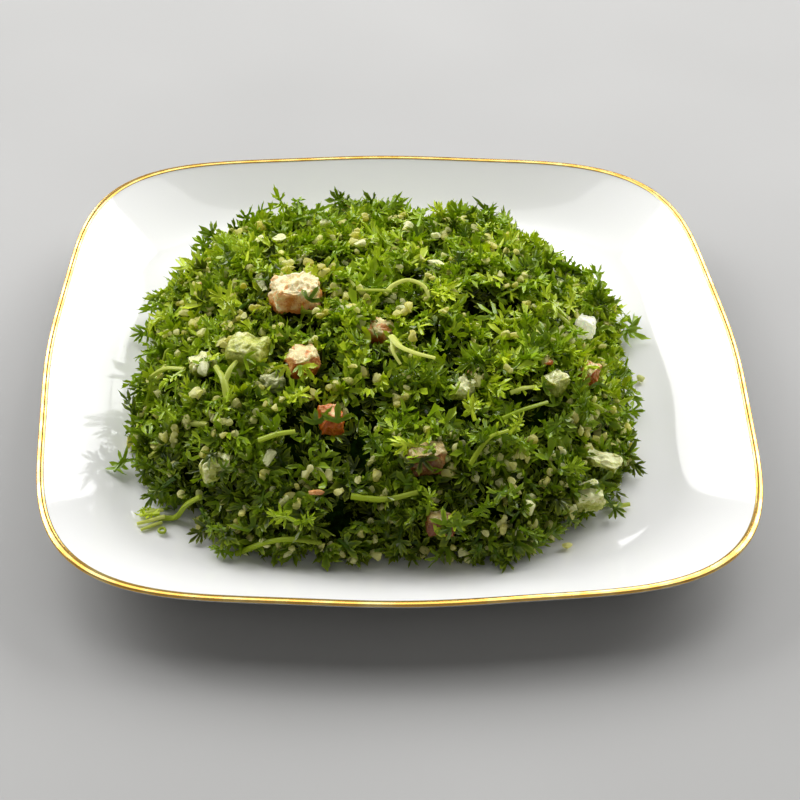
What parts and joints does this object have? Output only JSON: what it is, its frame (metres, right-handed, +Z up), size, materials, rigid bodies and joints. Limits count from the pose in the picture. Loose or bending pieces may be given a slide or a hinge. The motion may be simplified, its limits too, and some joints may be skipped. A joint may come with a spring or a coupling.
{
  "type": "plate of tabbouleh salad",
  "caption": "Tabbouleh of chopped curly parsley, bulgur, tomato, cucumber and onion, heaped on a square white porcelain plate with a gilt lip.",
  "frame": {"origin": "on the ground under the middle of the plate, which stands on its foot ring", "axes": "+Z up, -Y the diner's side, +X to the diner's right"},
  "size_m": [0.22, 0.22, 0.0507],
  "materials": {
    "porcelain": "white glossy glaze",
    "gilding": "thin fired gold on the lip",
    "parsley": "chopped curly parsley leaf, moist with oil",
    "parsley_stem": "cut pale green stems",
    "bulgur": "soaked cracked wheat, moist",
    "tomato": "diced tomato with moist cut faces",
    "cucumber": "peeled diced cucumber, moist",
    "onion": "pale translucent onion"
  },
  "bodies": {
    "root": {"plate": "porcelain", "salad_heap": "parsley", "tomato_1": "tomato", "tomato_2": "tomato", "tomato_3": "tomato", "tomato_4": "tomato", "tomato_5": "tomato", "tomato_6": "tomato", "tomato_7": "tomato", "cucumber_1": "cucumber", "cucumber_2": "cucumber", "cucumber_3": "cucumber", "cucumber_4": "cucumber", "cucumber_5": "cucumber", "cucumber_6": "cucumber", "cucumber_7": "cucumber", "cucumber_8": "cucumber", "onion_1": "onion", "onion_2": "onion", "stray_sprig": "parsley", "stray_stem_ring": "parsley_stem", "stray_grain": "bulgur", "stray_cucumber": "cucumber"}
  },
  "joints": []
}
